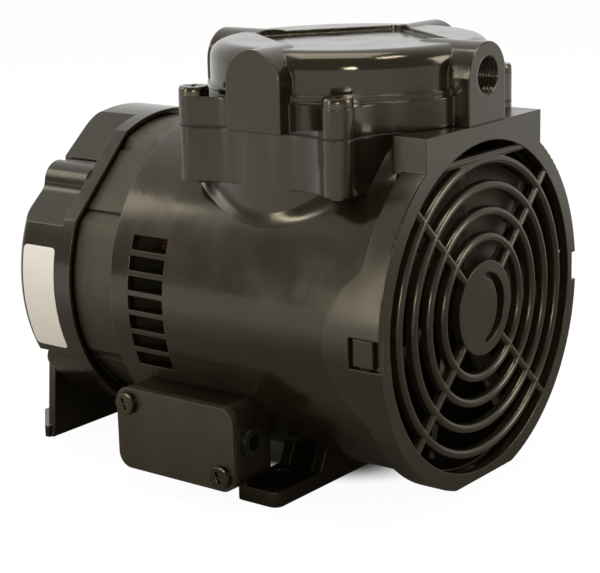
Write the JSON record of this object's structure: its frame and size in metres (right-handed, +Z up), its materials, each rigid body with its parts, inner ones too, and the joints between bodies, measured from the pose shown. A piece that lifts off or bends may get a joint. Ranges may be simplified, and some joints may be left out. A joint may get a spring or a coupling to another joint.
{
  "type": "oil-free air compressor",
  "caption": "Oil-free wobble-piston air compressor with fan-cooled motor, round cylinder head with threaded ports, slotted shroud, ring grille, terminal box and feet at both ends.",
  "frame": {"origin": "middle between the two front foot holes, on the mounting plane", "axes": "+X along the motor shaft towards the fan guard, +Z up to the cylinder head, terminal box on -Y"},
  "size_m": [0.17, 0.1227, 0.1428],
  "materials": {
    "casting_paint": "satin",
    "head_paint": "satin",
    "bracket_paint": "satin",
    "guard_plastic": "satin",
    "lamination": "matte",
    "copper": "enamelled copper",
    "screw_steel": "plated",
    "bearing_steel": "ground",
    "spring_steel": "polished",
    "crank_iron": "machined",
    "bright_aluminium": "satin",
    "terminal_brass": "bright",
    "seal_rubber": "matte",
    "cup_seal": "matte",
    "block_plastic": "matte",
    "gasket_fibre": "matte",
    "label_film": "satin"
  },
  "bodies": {
    "housing": {"crankcase": "casting_paint", "bearing_wall": "casting_paint", "cylinder_tower": "casting_paint", "front_foot": "casting_paint", "terminal_box": "casting_paint", "stator_stack": "lamination", "coil_sides": "copper", "front_windings": "copper", "rear_windings": "copper", "end_bell": "casting_paint", "preload_washer": "spring_steel", "rear_bearing_outer": "bearing_steel", "front_bearing_outer": "bearing_steel", "through_bolts": "screw_steel", "rear_foot": "bracket_paint", "blank_label": "label_film", "cover_gasket": "seal_rubber", "terminal_cover": "bracket_paint", "cover_screws": "screw_steel", "terminal_block": "block_plastic", "terminal_screws": "terminal_brass", "cord_grommet": "seal_rubber", "fan_guard": "guard_plastic", "cylinder_sleeve": "bright_aluminium", "sleeve_seal": "seal_rubber", "valve_plate": "bright_aluminium", "exhaust_reed_root": "spring_steel", "reed_keeper": "bearing_steel", "keeper_screw": "screw_steel", "intake_reed_root": "spring_steel", "intake_screw": "screw_steel", "head_gasket": "gasket_fibre", "cylinder_head": "head_paint", "head_screws": "screw_steel"},
    "rotating_group": {"shaft": "bearing_steel", "rotor_core": "lamination", "rotor_cage": "bright_aluminium", "rear_bearing_inner": "bearing_steel", "rear_bearing_balls": "bearing_steel", "front_bearing_inner": "bearing_steel", "front_bearing_balls": "bearing_steel", "eccentric": "crank_iron", "eccentric_screw": "screw_steel", "rod_bearing_inner": "bearing_steel", "rod_bearing_balls": "bearing_steel", "cooling_fan": "guard_plastic", "fan_screw": "screw_steel"},
    "wobble_piston": {"connecting_rod": "bright_aluminium", "rod_bearing_outer": "bearing_steel", "piston_cup": "cup_seal", "cup_retainer": "bright_aluminium", "retainer_screw": "screw_steel"},
    "exhaust_tongue": {"exhaust_reed": "spring_steel"},
    "intake_tongue": {"intake_reed": "spring_steel"}
  },
  "joints": [
    {"name": "shaft_spin", "type": "hinge", "parent": "housing", "child": "rotating_group", "pos_m": [0, 0, 0.06], "axis": [1, 0, 0], "continuous": true},
    {"name": "rod_follow", "type": "hinge", "parent": "rotating_group", "child": "wobble_piston", "pos_m": [0.005, 0, 0.0642], "axis": [1, 0, 0], "continuous": true},
    {"name": "exhaust_flex", "type": "hinge", "parent": "housing", "child": "exhaust_tongue", "pos_m": [0.016, -0.006, 0.1221], "axis": [1, 0, 0], "range_deg": [0, 4], "stiffness_Nm_per_rad": 0.02},
    {"name": "intake_flex", "type": "hinge", "parent": "housing", "child": "intake_tongue", "pos_m": [-0.006, -0.006, 0.1176], "axis": [-1, 0, 0], "range_deg": [0, 4], "stiffness_Nm_per_rad": 0.02}
  ],
  "couplings": [
    {"joint": "rod_follow", "follows": "shaft_spin", "ratio": -1}
  ]
}
